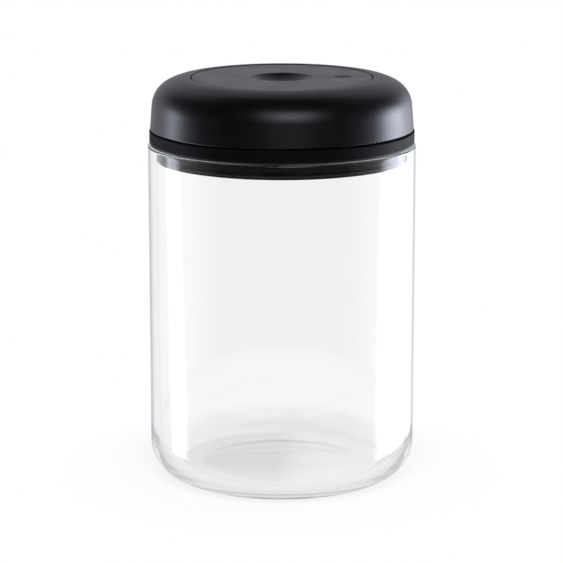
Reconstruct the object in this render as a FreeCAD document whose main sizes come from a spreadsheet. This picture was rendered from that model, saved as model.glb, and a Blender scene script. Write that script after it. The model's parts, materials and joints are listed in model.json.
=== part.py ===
import FreeCAD, Part
import math
import os
import types
import Sketcher

# Vacuum seal canister: a glass jar whose lid holds a twist-driven air pump.
# Millimetres and degrees, +Z up, the middle of the standing face at the origin.

SIZES = {
    # Glass jar
    "jar_radius": 59.5,
    "jar_height": 151.5,
    "jar_wall": 3.5,
    "jar_floor": 4.8,
    "jar_corner": 15.7,
    "jar_pushup": 0.8,
    "foot_width": 5.5,
    "rim_round": 1.2,
    # Lid base: collar on the rim, plug in the mouth
    "collar_setback": 0.6,
    "collar_height": 5.2,
    "collar_round": 0.5,
    "plug_depth": 7.0,
    "plug_wall": 1.8,
    "floor_thickness": 1.5,
    "plenum_height": 1.0,
    "well_height": 4.0,
    "cylinder_wall": 1.5,
    "cylinder_margin": 0.4,
    "column_wall": 2.0,
    "valve_hole": 4.0,
    "spring_collar_wall": 0.7,
    "spring_collar_height": 1.5,
    # Gasket between the plug and the glass
    "gasket_thickness": 2.5,
    "gasket_body": 1.2,
    "gasket_fit": 0.12,
    "flange_thickness": 0.8,
    "flange_setback": 0.4,
    "lip_height": 2.0,
    "lip_land": 0.6,
    "lip_drop": 2.0,
    "lip_pitch": 3.2,
    "hook_depth": 1.5,
    "hook_thickness": 0.8,
    # Bottom cover and filter
    "cover_thickness": 1.5,
    "cover_gap": 0.1,
    "cover_boss_radius": 3.0,
    "cover_boss_margin": 0.5,
    "filter_opening": 18.6,
    "filter_thickness": 1.2,
    "filter_cap_lap": 2.0,
    "filter_cap_thickness": 1.2,
    "filter_cap_round": 0.5,
    "filter_spigot_wall": 1.1,
    "filter_spigot_height": 1.3,
    "filter_slot_start": 6.0,
    "filter_slot_margin": 1.5,
    "filter_slot_width": 2.4,
    # Clearances
    "running_gap": 0.3,
    "screw_fit": 0.05,
    "seal_fit": 0.1,
    "gland_fit": 0.05,
    "seam_gap": 0.4,
    "ring_gap": 0.45,
    # Pump
    "stroke": 7.0,
    "twist_angle": 90.0,
    "piston_gap": 0.6,
    "piston_plate": 2.0,
    "skirt_height": 4.2,
    "skirt_wall": 1.0,
    "seal_radius": 0.8,
    "gland_base": 1.1,
    "valve_radius": 3.15,
    "valve_margin": 0.35,
    "valve_thickness": 1.1,
    "valve_edge": 0.4,
    "valve_stem": 1.0,
    "valve_bead": 0.4,
    "valve_tail": 0.8,
    "air_hole": 0.65,
    "arm_width": 12.0,
    "arm_inset": 4.0,
    "arm_gap": 0.5,
    "arm_margin": 1.8,
    "key_width": 5.0,
    "key_depth": 0.7,
    # Cam drive
    "drum_gap": 0.7,
    "drum_wall": 3.7,
    "drum_foot_gap": 0.8,
    "drum_chamfer": 1.8,
    "drum_shell_gap": 0.3,
    "groove_depth": 2.9,
    "groove_gap": 0.2,
    "groove_lead_in": 5.0,
    "roller_radius": 1.9,
    "roller_length": 2.3,
    "pin_radius": 1.2,
    "pin_seat": 4.0,
    "flange_reach": 2.2,
    "flange_height": 2.0,
    "washer_thickness": 0.4,
    "retainer_setback": 3.0,
    "retainer_gap": 0.5,
    "retainer_thickness": 1.8,
    "web_gap": 0.4,
    "web_thickness": 2.8,
    # Twist cap
    "cap_setback": 1.0,
    "cap_wall": 2.2,
    "cap_draft": 4.5,
    "cap_foot_round": 0.6,
    "shoulder_radius": 12.0,
    "shoulder_angle": 62.0,
    "hub_wall": 1.25,
    "crest_round": 0.6,
    "crest_rise": 0.2,
    "ledge_thickness": 1.2,
    "ledge_gap": 0.9,
    "ledge_land": 5.4,
    # Top plate
    "plate_radius": 40.1,
    "plate_thickness": 3.15,
    "plate_round": 0.4,
    "plate_gap": 0.4,
    "plate_fit": 0.1,
    "plate_skirt_wall": 1.9,
    "plate_skirt_height": 6.0,
    "snap_bead": 0.3,
    "snap_land": 0.4,
    "snap_drop": 3.6,
    "guide_wall": 1.7,
    "guide_length": 10.0,
    # Release button
    "button_radius": 12.75,
    "button_gap": 0.3,
    "button_round": 0.4,
    "button_dish": 3.6,
    "button_skin": 1.8,
    "button_wall": 1.85,
    "carrier_lap": 1.15,
    "carrier_flange": 1.5,
    "carrier_spigot": 2.3,
    "carrier_fit": 0.1,
    "stem_radius": 2.4,
    "stem_tail": 1.2,
    "poppet_radius": 6.0,
    "poppet_thickness": 1.2,
    "poppet_seal_thickness": 0.8,
    "clip_groove": 0.6,
    "clip_thickness": 0.6,
    "clip_reach": 1.8,
    "button_spring_radius": 5.6,
    "button_spring_wire": 0.45,
    "button_spring_turns": 6.0,
    # Vacuum indicator
    "indicator_bore": 3.0,
    "indicator_wall": 1.0,
    "indicator_port": 1.0,
    "tower_wall": 1.3,
    "tower_height": 12.5,
    "lens_radius": 3.7,
    "lens_thickness": 1.0,
    "lens_recess": 0.1,
    "lens_fit": 0.05,
    "lens_lip": 0.4,
    "sleeve_radius": 3.0,
    "sleeve_wall": 0.7,
    "sleeve_height": 5.9,
    "pin_head_gap": 0.2,
    "pin_head_length": 5.0,
    "pin_stem": 1.4,
    "pin_piston_gap": 0.15,
    "pin_piston_length": 3.4,
    "pin_seal_radius": 0.45,
    "indicator_spring_length": 5.1,
    "indicator_spring_radius": 2.2,
    "indicator_spring_wire": 0.22,
    "indicator_spring_turns": 4.0,
    # Screws
    "cover_screw_radius": 1.2,
    "cover_screw_head": 2.4,
    "cover_screw_head_height": 1.0,
    "cover_screw_grip": 4.2,
    "retainer_screw_radius": 0.8,
    "retainer_screw_head": 1.1,
    "retainer_screw_head_height": 0.8,
    "retainer_screw_grip": 3.2,
    "cap_screw_radius": 1.2,
    "cap_screw_head": 2.2,
    "cap_screw_grip": 2.2,
}

# Counts, and angles around the lid from +X
DRIVE_COUNT = 3
INTAKE_ANGLE = 60
OUTLET_ANGLE = 30
AIR_HOLE_COUNT = 4
COVER_SCREW_COUNT = 4
COVER_SCREW_ANGLE = 45
RING_SCREW_COUNT = 6
FILTER_SLOT_COUNT = 10

# Directions along an outline, as (across, along)
UP = (0, 1)
DOWN = (0, -1)
OUTWARD = (1, 0)
INWARD = (-1, 0)


class Size:
    """A length together with the spreadsheet expression that gives it."""

    def __init__(self, value, text):
        self.value = value
        self.text = text

    def __add__(self, other):
        other = as_size(other)
        return Size(self.value + other.value, f"({self.text} + {other.text})")

    def __sub__(self, other):
        other = as_size(other)
        return Size(self.value - other.value, f"({self.text} - {other.text})")

    def __mul__(self, other):
        other = as_size(other)
        return Size(self.value * other.value, f"({self.text} * {other.text})")

    def __truediv__(self, other):
        other = as_size(other)
        return Size(self.value / other.value, f"({self.text} / {other.text})")

    def __neg__(self):
        return Size(-self.value, f"(-{self.text})")


def as_size(number):
    """Plain numbers join a sum of sizes as they are."""
    if isinstance(number, Size):
        return number
    return Size(number, str(number))


def cosine(angle):
    return Size(math.cos(math.radians(angle.value)), f"cos({angle.text})")


def sine(angle):
    return Size(math.sin(math.radians(angle.value)), f"sin({angle.text})")


def tangent(angle):
    return Size(math.tan(math.radians(angle.value)), f"tan({angle.text})")


def root(square):
    return Size(math.sqrt(square.value), f"sqrt({square.text})")


def least(first, second):
    return Size(min(first.value, second.value), f"min({first.text}; {second.text})")


def make_sheet():
    """Write the driving sizes to a spreadsheet and return them as Size values."""
    sheet = doc.addObject("Spreadsheet::Sheet", "dims")
    sizes = types.SimpleNamespace()
    for row, (alias, value) in enumerate(SIZES.items(), start=1):
        sheet.set(f"A{row}", alias.replace("_", " "))
        sheet.set(f"B{row}", str(value))
        sheet.setAlias(f"B{row}", alias)
        setattr(sizes, alias, Size(value, f"dims.{alias}"))
    doc.recompute()
    return sizes


# Sketch and feature helpers

def new_body(label):
    body = doc.addObject("PartDesign::Body", label)
    body.Label = label
    parts.append(body)
    return body


def origin_feature(body, role):
    return next(f for f in body.Origin.OriginFeatures if f.Role == role)


def new_sketch(body, name, role, angle=0, offset=None):
    """A sketch on an origin plane, turned about Z or moved along the plane's normal."""
    sketch = body.newObject("Sketcher::SketchObject", f"{body.Label}_{name}_sketch")
    sketch.AttachmentSupport = [(origin_feature(body, role), "")]
    sketch.MapMode = "FlatFace"
    upright = FreeCAD.Vector(0, 0, 1) if role == "XY_Plane" else FreeCAD.Vector(0, 1, 0)
    distance = FreeCAD.Vector(0, 0, offset.value if offset else 0)
    sketch.AttachmentOffset = FreeCAD.Placement(distance, FreeCAD.Rotation(upright, angle))
    if offset:
        sketch.setExpression(".AttachmentOffset.Base.z", offset.text)
    return sketch


def bind(sketch, constraint, size):
    """Add a sketch constraint and drive it from the spreadsheet."""
    index = sketch.addConstraint(constraint)
    sketch.setExpression(f"Constraints[{index}]", size.text)


def place_point(sketch, geometry, position, across, along):
    """Fix one sketch point by its two distances from the sketch origin."""
    for kind, size, axis in (("DistanceX", across, -2), ("DistanceY", along, -1)):
        if size.value == 0:
            sketch.addConstraint(Sketcher.Constraint("PointOnObject", geometry, position, axis))
        elif size.value > 0:
            bind(sketch, Sketcher.Constraint(kind, -1, 1, geometry, position, size.value), size)
        else:
            back = -size
            bind(sketch, Sketcher.Constraint(kind, geometry, position, -1, 1, back.value), back)


def arc_between(start, end, radius, turn):
    """The short arc from start to end, counter-clockwise where turn is 1."""
    chord = end - start
    side = FreeCAD.Vector(-chord.y, chord.x, 0).normalize() * turn
    reach = math.sqrt(max(radius ** 2 - (chord.Length / 2) ** 2, 0))
    centre = (start + end) * 0.5 + side * reach
    first, last = (start, end) if turn > 0 else (end, start)
    first_angle = math.atan2(first.y - centre.y, first.x - centre.x)
    last_angle = math.atan2(last.y - centre.y, last.x - centre.x)
    if last_angle < first_angle:
        last_angle += 2 * math.pi
    circle = Part.Circle(centre, FreeCAD.Vector(0, 0, 1), radius)
    return Part.ArcOfCircle(circle, first_angle, last_angle)


def draw_outline(sketch, points):
    """Draw a closed outline. A point is (across, along) for a line to it, or
    (across, along, radius, turn) for an arc to it."""
    points = [tuple(as_size(item) for item in point) for point in points]
    corners = [FreeCAD.Vector(point[0].value, point[1].value, 0) for point in points]
    edges = []
    for number, point in enumerate(points):
        start = corners[number - 1]
        end = corners[number]
        if len(point) == 2:
            edges.append((sketch.addGeometry(Part.LineSegment(start, end), False), 1, 2))
            continue
        radius = point[2].value
        turn = point[3].value
        geometry = sketch.addGeometry(arc_between(start, end, radius, turn), False)
        edges.append((geometry, 1, 2) if turn > 0 else (geometry, 2, 1))
    for number, point in enumerate(points):
        geometry, _, last = edges[number]
        follower, first, _ = edges[(number + 1) % len(points)]
        sketch.addConstraint(Sketcher.Constraint("Coincident", geometry, last, follower, first))
        place_point(sketch, geometry, last, point[0], point[1])
        if len(point) == 4:
            bind(sketch, Sketcher.Constraint("Radius", geometry, point[2].value), point[2])


def draw_circle(sketch, across, along, radius):
    across = as_size(across)
    along = as_size(along)
    centre = FreeCAD.Vector(across.value, along.value, 0)
    geometry = sketch.addGeometry(Part.Circle(centre, FreeCAD.Vector(0, 0, 1), radius.value), False)
    place_point(sketch, geometry, 3, across, along)
    bind(sketch, Sketcher.Constraint("Radius", geometry, radius.value), radius)


def draw_axis(sketch, across):
    """A vertical construction line, from the table to the rim's height."""
    foot = FreeCAD.Vector(across.value, 0, 0)
    head = FreeCAD.Vector(across.value, rim.value, 0)
    geometry = sketch.addGeometry(Part.LineSegment(foot, head), True)
    place_point(sketch, geometry, 1, across, as_size(0))
    place_point(sketch, geometry, 2, across, rim)


def shifted(across, along, length, direction):
    """A point moved along one of the four outline directions."""
    if direction[0]:
        return (across + length * direction[0], along)
    return (across, along + length * direction[1])


def rounded(across, along, radius, arriving, leaving):
    """The two outline points of a rounded square corner."""
    turn = arriving[0] * leaving[1] - arriving[1] * leaving[0]
    before = shifted(across, along, radius, (-arriving[0], -arriving[1]))
    after = shifted(across, along, radius, leaving)
    return [before, after + (radius, turn)]


def box_outline(across_from, across_to, along_from, along_to):
    return [
        (across_from, along_from),
        (across_to, along_from),
        (across_to, along_to),
        (across_from, along_to),
    ]


def turned(body, name, points, cut=False, circle=None, angle=0):
    """Turn an outline about Z, or about an upright axis that stands on a circle."""
    sketch = new_sketch(body, name, "XZ_Plane", angle)
    if circle:
        points = [(circle + point[0],) + tuple(point[1:]) for point in points]
        draw_axis(sketch, circle)
    draw_outline(sketch, points)
    kind = "PartDesign::Groove" if cut else "PartDesign::Revolution"
    feature = body.newObject(kind, f"{body.Label}_{name}")
    feature.Profile = sketch
    feature.ReferenceAxis = (sketch, ["Axis0" if circle else "V_Axis"])
    feature.Angle = 360
    return feature


def extruded(body, name, sketch, length, cut=False):
    """Pad along the sketch's normal, or pocket against it."""
    kind = "PartDesign::Pocket" if cut else "PartDesign::Pad"
    feature = body.newObject(kind, f"{body.Label}_{name}")
    feature.Profile = sketch
    feature.Length = length.value
    feature.setExpression("Length", length.text)
    return feature


def repeated(body, features, count):
    """Repeat features evenly around Z."""
    ring = body.newObject("PartDesign::PolarPattern", f"{features[0].Name}_ring")
    ring.Originals = features
    ring.Axis = (origin_feature(body, "Z_Axis"), [""])
    ring.Angle = 360
    ring.Occurrences = count
    body.Tip = ring


def coiled(body, circle, radius, wire, bottom, length, turns):
    """A round-wire compression spring that stands between two flat seats."""
    sketch = new_sketch(body, "wire", "XZ_Plane")
    middle = circle if circle else as_size(0)
    if circle:
        draw_axis(sketch, circle)
    draw_circle(sketch, middle + radius, bottom + wire, wire)
    coil = body.newObject("PartDesign::AdditiveHelix", f"{body.Label}_coil")
    coil.Profile = sketch
    coil.ReferenceAxis = (sketch, ["Axis0" if circle else "V_Axis"])
    coil.Mode = "height-turns-angle"
    rise = length - wire * 2
    coil.Height = rise.value
    coil.Turns = turns.value
    coil.setExpression("Height", rise.text)
    coil.setExpression("Turns", turns.text)
    print(f"{body.Label}: gap between turns {rise.value / turns.value - 2 * wire.value:.2f} mm")


def primitive(kind, label, sizes, across, height):
    """A Part primitive whose sizes and place come from the spreadsheet."""
    shape = doc.addObject(kind, label)
    shape.Label = label
    for name, size in sizes.items():
        setattr(shape, name, size.value)
        shape.setExpression(name, size.text)
    shape.Placement.Base = FreeCAD.Vector(across.value, 0, height.value)
    shape.setExpression(".Placement.Base.x", across.text)
    shape.setExpression(".Placement.Base.z", height.text)
    parts.append(shape)


doc = FreeCAD.newDocument("vacuum_seal_canister")
parts = []
size = make_sheet()

# Heights, from the table up
rim = size.jar_height
plug_bottom = rim - size.plug_depth
cover_top = plug_bottom + size.cover_thickness
hook_under = cover_top - size.hook_thickness
floor_under = cover_top + size.plenum_height
floor_top = floor_under + size.floor_thickness
well_under = floor_under + size.well_height
well_top = well_under + size.floor_thickness
collar_under = rim + size.flange_thickness
collar_top = collar_under + size.collar_height
flange_top = collar_top - size.running_gap
flange_under = flange_top - size.flange_height
recess_floor = flange_under - size.washer_thickness
retainer_top = collar_top + size.retainer_thickness
cap_bottom = collar_top + size.seam_gap
piston_bottom = floor_top + size.valve_thickness + size.piston_gap
piston_top = piston_bottom + size.piston_plate
skirt_top = piston_bottom + size.skirt_height
key_slot_bottom = skirt_top + size.stroke
key_bottom = key_slot_bottom + size.running_gap
cylinder_top = key_slot_bottom + size.cylinder_margin
pin_height = cylinder_top + size.running_gap + size.roller_radius
arm_top = pin_height + size.arm_margin
web_under = arm_top + size.stroke + size.web_gap
web_top = web_under + size.web_thickness
ledge_top = web_top + size.ledge_thickness
plate_under = ledge_top + size.plate_gap
plate_top = plate_under + size.plate_thickness
lid_top = plate_top + size.crest_rise
skirt_bottom = plate_under - size.plate_skirt_height
snap_middle = plate_under - size.snap_drop
guide_bottom = plate_under - size.guide_length
carrier_top = guide_bottom - size.running_gap
carrier_under = carrier_top - size.carrier_flange
spigot_top = carrier_top + size.carrier_spigot
lens_under = plate_top - size.lens_recess - size.lens_thickness
sleeve_top = lens_under - size.lens_lip
pin_top = lens_under - size.running_gap

# Radii, from the glass inward and from the middle outward
jar_bore = size.jar_radius - size.jar_wall
collar_radius = size.jar_radius - size.collar_setback
cap_radius = size.jar_radius - size.cap_setback
plug_radius = jar_bore - size.gasket_thickness
trough_radius = plug_radius - size.plug_wall
drum_radius = trough_radius - size.drum_gap
drum_bore = drum_radius - size.drum_wall
groove_radius = drum_bore + size.groove_depth
cylinder_radius = drum_bore - size.running_gap
cylinder_bore = cylinder_radius - size.cylinder_wall
flange_radius = drum_radius + size.flange_reach
recess_radius = flange_radius + size.running_gap
retainer_bore = drum_radius + size.retainer_gap
retainer_radius = collar_radius - size.retainer_setback
retainer_screw_circle = (recess_radius + retainer_radius) / 2
cap_opening = size.plate_radius + size.ring_gap
crest_radius = cap_opening + size.hub_wall

# Cap shoulder: a drafted wall, a lower arc, and an upper arc that is level at the crest
cap_foot = cap_bottom + size.cap_foot_round
slope = tangent(size.cap_draft)
draft_way = (cosine(size.cap_draft), sine(size.cap_draft))
join_way = (cosine(size.shoulder_angle), sine(size.shoulder_angle))
shoulder_width = cap_radius - crest_radius
one_arc_width = shoulder_width - (lid_top - cap_foot) * slope
one_arc = one_arc_width / (draft_way[0] - slope * (as_size(1) - draft_way[1]))
lower_arc = least(size.shoulder_radius, one_arc)
wall_rise = lid_top - lower_arc + lower_arc * draft_way[1] - cap_foot
width_left = shoulder_width - lower_arc * draft_way[0] - wall_rise * slope
widening = width_left / (join_way[0] - slope * (as_size(1) - join_way[1]))
upper_arc = lower_arc + widening
upper_centre = (crest_radius, lid_top - upper_arc)
lower_centre = (crest_radius + widening * join_way[0], upper_centre[1] + widening * join_way[1])

# The column leaves room for the pump ring outside it and for the cap's ledge above
gland_depth = size.seal_radius * 2 + size.gland_fit
pump_half = size.seal_fit + gland_depth + size.skirt_wall + size.valve_margin + size.valve_radius
ledge_limit = cap_opening - size.ledge_land - size.ledge_gap
column_radius = least(cylinder_bore - pump_half * 2, ledge_limit)
column_bore = column_radius - size.column_wall
indicator_circle = column_bore - size.indicator_wall - size.indicator_bore
ledge_bore = column_radius + size.ledge_gap
cap_screw_circle = (ledge_bore + cap_opening) / 2

# The cover's screws stand round the filter cap, inside the column
screw_room = size.cover_screw_head + size.filter_cap_lap
boss_limit = column_bore - size.cover_boss_margin - size.cover_boss_radius
filter_opening = least(size.filter_opening, boss_limit - screw_room)
cover_screw_circle = filter_opening + screw_room
filter_spigot = filter_opening - size.cover_gap
filter_spigot_bore = filter_spigot - size.filter_spigot_wall
sleeve_bore = size.sleeve_radius - size.sleeve_wall
guide_bore = size.button_radius + size.button_gap

# Piston ring between column and cylinder
outer_seal_circle = cylinder_bore - size.seal_fit - size.seal_radius
inner_seal_circle = column_radius + size.seal_fit + size.seal_radius
piston_radius = cylinder_bore - size.running_gap
piston_bore = column_radius + size.running_gap
outer_gland = cylinder_bore - size.seal_fit - gland_depth
inner_gland = column_radius + size.seal_fit + gland_depth
outer_skirt = outer_gland - size.skirt_wall
inner_skirt = inner_gland + size.skirt_wall
gland_bottom = piston_bottom + size.gland_base
seal_height = gland_bottom + size.gland_fit + size.seal_radius
gland_top = seal_height + size.seal_radius + size.gland_fit
valve_circle = (outer_skirt + inner_skirt) / 2
air_circle = (size.valve_stem + size.valve_radius) / 2
arm_reach = cylinder_bore - size.arm_gap
arm_outer = root(arm_reach * arm_reach - size.arm_width * size.arm_width / 4)
arm_inner = column_radius + size.arm_inset
pin_end = groove_radius - size.running_gap

# Indicator pin, from its piston up
pin_piston_bottom = well_top + size.indicator_spring_length
pin_piston_top = pin_piston_bottom + size.pin_piston_length
pin_piston_radius = size.indicator_bore - size.pin_piston_gap
pin_seal_circle = size.indicator_bore - size.seal_fit - size.pin_seal_radius
pin_gland = pin_seal_circle - size.pin_seal_radius - size.gland_fit
pin_seal_height = pin_piston_bottom + size.pin_piston_length / 2
pin_gland_half = size.pin_seal_radius + size.gland_fit


def glass_jar():
    body = new_body("glass_jar")
    inner_corner = size.jar_corner - size.jar_wall
    foot_outer = size.jar_radius - size.jar_corner
    foot_inner = foot_outer - size.foot_width
    pushup_square = foot_inner * foot_inner + size.jar_pushup * size.jar_pushup
    pushup_radius = pushup_square / (size.jar_pushup * 2)
    turned(body, "wall", [
        (0, size.jar_pushup),
        (foot_inner, 0, pushup_radius, -1),
        (foot_outer, 0),
        (size.jar_radius, size.jar_corner, size.jar_corner, 1),
        *rounded(size.jar_radius, rim, size.rim_round, UP, INWARD),
        *rounded(jar_bore, rim, size.rim_round, INWARD, DOWN),
        (jar_bore, size.jar_floor + inner_corner),
        (jar_bore - inner_corner, size.jar_floor, inner_corner, -1),
        (0, size.jar_floor),
    ])


def snap_outline(radius, clearance):
    """The snap bead of the top plate, or its groove in the column, from the top down."""
    land = size.snap_land + clearance
    foot = land + size.snap_bead
    crest = radius + size.snap_bead + clearance
    return [
        (radius, snap_middle + foot),
        (crest, snap_middle + land),
        (crest, snap_middle - land),
        (radius, snap_middle - foot),
    ]


def lid_base():
    """Collar, plug, pump cylinder and centre column, moulded as one piece."""
    body = new_body("lid_base")
    spring_collar = size.valve_hole + size.spring_collar_wall
    spring_collar_top = well_top + size.spring_collar_height
    turned(body, "shell", [
        (size.valve_hole, well_under),
        (column_bore, well_under),
        (column_bore, floor_under),
        (trough_radius, floor_under),
        (trough_radius, cover_top),
        (plug_radius, cover_top),
        (plug_radius, collar_under),
        *rounded(collar_radius, collar_under, size.collar_round, OUTWARD, UP),
        *rounded(collar_radius, collar_top, size.collar_round, UP, INWARD),
        (recess_radius, collar_top),
        (recess_radius, recess_floor),
        (trough_radius, recess_floor),
        (trough_radius, floor_top),
        (cylinder_radius, floor_top),
        (cylinder_radius, cylinder_top),
        (cylinder_bore, cylinder_top),
        (cylinder_bore, floor_top),
        (column_radius, floor_top),
        (column_radius, plate_under),
        (column_bore, plate_under),
        *snap_outline(column_bore, size.plate_fit),
        (column_bore, well_top),
        (spring_collar, well_top),
        (spring_collar, spring_collar_top),
        (size.valve_hole, spring_collar_top),
    ])

    tower = new_sketch(body, "tower", "XY_Plane", offset=well_top)
    draw_circle(tower, indicator_circle, 0, size.indicator_bore + size.tower_wall)
    draw_circle(tower, indicator_circle, 0, size.indicator_bore)
    extruded(body, "tower", tower, size.tower_height)
    port = new_sketch(body, "port", "XY_Plane", offset=well_top)
    draw_circle(port, indicator_circle, 0, size.indicator_port)
    extruded(body, "port", port, size.floor_thickness, cut=True)

    boss = new_sketch(body, "boss", "XY_Plane", COVER_SCREW_ANGLE, cover_top)
    draw_circle(boss, cover_screw_circle, 0, size.cover_boss_radius)
    draw_circle(boss, cover_screw_circle, 0, size.cover_screw_radius + size.screw_fit)
    bosses = extruded(body, "boss", boss, well_under - cover_top)
    repeated(body, [bosses], COVER_SCREW_COUNT)

    slot_top = arm_top + size.stroke + size.running_gap
    slot_half = size.key_width / 2 + size.running_gap
    slot_floor = column_radius - size.key_depth - size.running_gap
    slot = new_sketch(body, "key_slot", "XY_Plane", offset=slot_top)
    draw_outline(slot, box_outline(slot_floor, arm_inner, -slot_half, slot_half))
    slots = extruded(body, "key_slot", slot, slot_top - key_slot_bottom, cut=True)
    repeated(body, [slots], DRIVE_COUNT)

    valve_holes(body, INTAKE_ANGLE, floor_top, size.floor_thickness)

    hole = new_sketch(body, "ring_screw", "XY_Plane", offset=collar_top)
    draw_circle(hole, retainer_screw_circle, 0, size.retainer_screw_radius + size.screw_fit)
    holes = extruded(body, "ring_screw", hole, size.retainer_screw_grip + size.running_gap, cut=True)
    repeated(body, [holes], RING_SCREW_COUNT)


def valve_holes(body, angle, top, thickness):
    """A stem hole with air holes around it, for each umbrella valve."""
    sketch = new_sketch(body, "valve_holes", "XY_Plane", angle, top)
    draw_circle(sketch, valve_circle, 0, size.valve_stem + size.screw_fit)
    for number in range(AIR_HOLE_COUNT):
        around = 2 * math.pi * (number + 0.5) / AIR_HOLE_COUNT
        across = valve_circle + air_circle * math.cos(around)
        draw_circle(sketch, across, air_circle * math.sin(around), size.air_hole)
    holes = extruded(body, "valve_holes", sketch, thickness, cut=True)
    repeated(body, [holes], DRIVE_COUNT)


def lid_gasket():
    """A ring with a flange on the rim, two lips to the glass and a hook under the plug."""
    body = new_body("lid_gasket")
    flange = collar_radius - size.flange_setback
    skin = plug_radius + size.gasket_body
    lip = jar_bore - size.gasket_fit
    lips = []
    for drop in (size.lip_drop, size.lip_drop + size.lip_pitch):
        middle = rim - drop
        lips += [
            (skin, middle + size.lip_height / 2),
            (lip, middle + size.lip_land / 2),
            (lip, middle - size.lip_land / 2),
            (skin, middle - size.lip_height / 2),
        ]
    turned(body, "ring", [
        (plug_radius, collar_under),
        (flange, collar_under),
        (flange, rim),
        (skin, rim),
        *lips,
        (skin, plug_bottom),
        (plug_radius, plug_bottom),
        (plug_radius, hook_under),
        (plug_radius - size.hook_depth, hook_under),
        (plug_radius - size.hook_depth, cover_top),
        (plug_radius, cover_top),
    ])


def bottom_cover():
    """The plate that closes the plug from below and clamps the gasket's hook."""
    body = new_body("bottom_cover")
    edge = plug_radius - size.cover_gap
    rebate = edge - size.hook_depth
    turned(body, "plate", [
        (filter_opening, plug_bottom),
        (edge, plug_bottom),
        (edge, hook_under),
        (rebate, hook_under),
        (rebate, cover_top),
        (filter_opening, cover_top),
    ])
    seat = cover_screw_outline(size.screw_fit, cover_top)
    hole = turned(body, "screw_hole", seat, True, cover_screw_circle, COVER_SCREW_ANGLE)
    repeated(body, [hole], COVER_SCREW_COUNT)


def cover_screw_outline(fit, tip):
    """Half section of a pan head screw, or with a fit of the hole for it."""
    head_top = plug_bottom + size.cover_screw_head_height
    return [
        (0, plug_bottom),
        (size.cover_screw_head + fit, plug_bottom),
        (size.cover_screw_head + fit, head_top),
        (size.cover_screw_radius + fit, head_top),
        (size.cover_screw_radius + fit, tip),
        (0, tip),
    ]


def cover_screws():
    body = new_body("cover_screws")
    outline = cover_screw_outline(0, cover_top + size.cover_screw_grip)
    screw = turned(body, "screw", outline, False, cover_screw_circle, COVER_SCREW_ANGLE)
    repeated(body, [screw], COVER_SCREW_COUNT)


def filter_cap():
    """The slotted cap that holds the filter in the bottom cover."""
    body = new_body("filter_cap")
    flange = filter_opening + size.filter_cap_lap
    under = plug_bottom - size.filter_cap_thickness
    spigot_end = plug_bottom + size.filter_spigot_height
    turned(body, "cap", [
        (0, under),
        *rounded(flange, under, size.filter_cap_round, OUTWARD, UP),
        (flange, plug_bottom),
        (filter_spigot, plug_bottom),
        (filter_spigot, spigot_end),
        (filter_spigot_bore, spigot_end),
        (filter_spigot_bore, plug_bottom),
        (0, plug_bottom),
    ])
    half = size.filter_slot_width / 2
    slot_end = filter_spigot_bore - size.filter_slot_margin
    slot = new_sketch(body, "slot", "XY_Plane", offset=plug_bottom)
    draw_outline(slot, box_outline(size.filter_slot_start, slot_end, -half, half))
    slots = extruded(body, "slot", slot, size.filter_cap_thickness, cut=True)
    repeated(body, [slots], FILTER_SLOT_COUNT)


def filter_disc():
    sizes = {"Radius": filter_spigot_bore - size.cover_gap, "Height": size.filter_thickness}
    primitive("Part::Cylinder", "filter_disc", sizes, as_size(0), plug_bottom)


def umbrella_valves(label, angle, seat, thickness):
    """Silicone umbrella valves: a domed disc on its seat, a stem and a holding bead."""
    body = new_body(label)
    under = seat - thickness
    valve = turned(body, "valve", [
        (0, seat + size.valve_thickness),
        (size.valve_radius, seat + size.valve_edge),
        (size.valve_radius, seat),
        (size.valve_stem, seat),
        (size.valve_stem, under),
        (size.valve_stem + size.valve_bead, under),
        (size.valve_stem, under - size.valve_tail),
        (0, under - size.valve_tail),
    ], False, valve_circle, angle)
    repeated(body, [valve], DRIVE_COUNT)


def intake_valves():
    umbrella_valves("intake_valves", INTAKE_ANGLE, floor_top, size.floor_thickness)


def outlet_valves():
    umbrella_valves("outlet_valves", OUTLET_ANGLE, piston_top, size.piston_plate)


def retainer_ring():
    """The ring that keeps the cam drum's flange down in the collar."""
    body = new_body("retainer_ring")
    turned(body, "ring", box_outline(retainer_bore, retainer_radius, collar_top, retainer_top))
    seat = retainer_screw_outline(size.screw_fit, collar_top)
    hole = turned(body, "screw_hole", seat, True, retainer_screw_circle)
    repeated(body, [hole], RING_SCREW_COUNT)


def retainer_screw_outline(fit, tip):
    head_under = retainer_top - size.retainer_screw_head_height
    return [
        (0, retainer_top),
        (size.retainer_screw_head + fit, retainer_top),
        (size.retainer_screw_head + fit, head_under),
        (size.retainer_screw_radius + fit, head_under),
        (size.retainer_screw_radius + fit, tip),
        (0, tip),
    ]


def retainer_screws():
    body = new_body("retainer_screws")
    outline = retainer_screw_outline(0, collar_top - size.retainer_screw_grip)
    screw = turned(body, "screw", outline, False, retainer_screw_circle)
    repeated(body, [screw], RING_SCREW_COUNT)


def thrust_washer():
    body = new_body("thrust_washer")
    inner = trough_radius + size.seal_fit
    outer = recess_radius - size.seal_fit
    turned(body, "ring", box_outline(inner, outer, recess_floor, flange_under))


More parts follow.
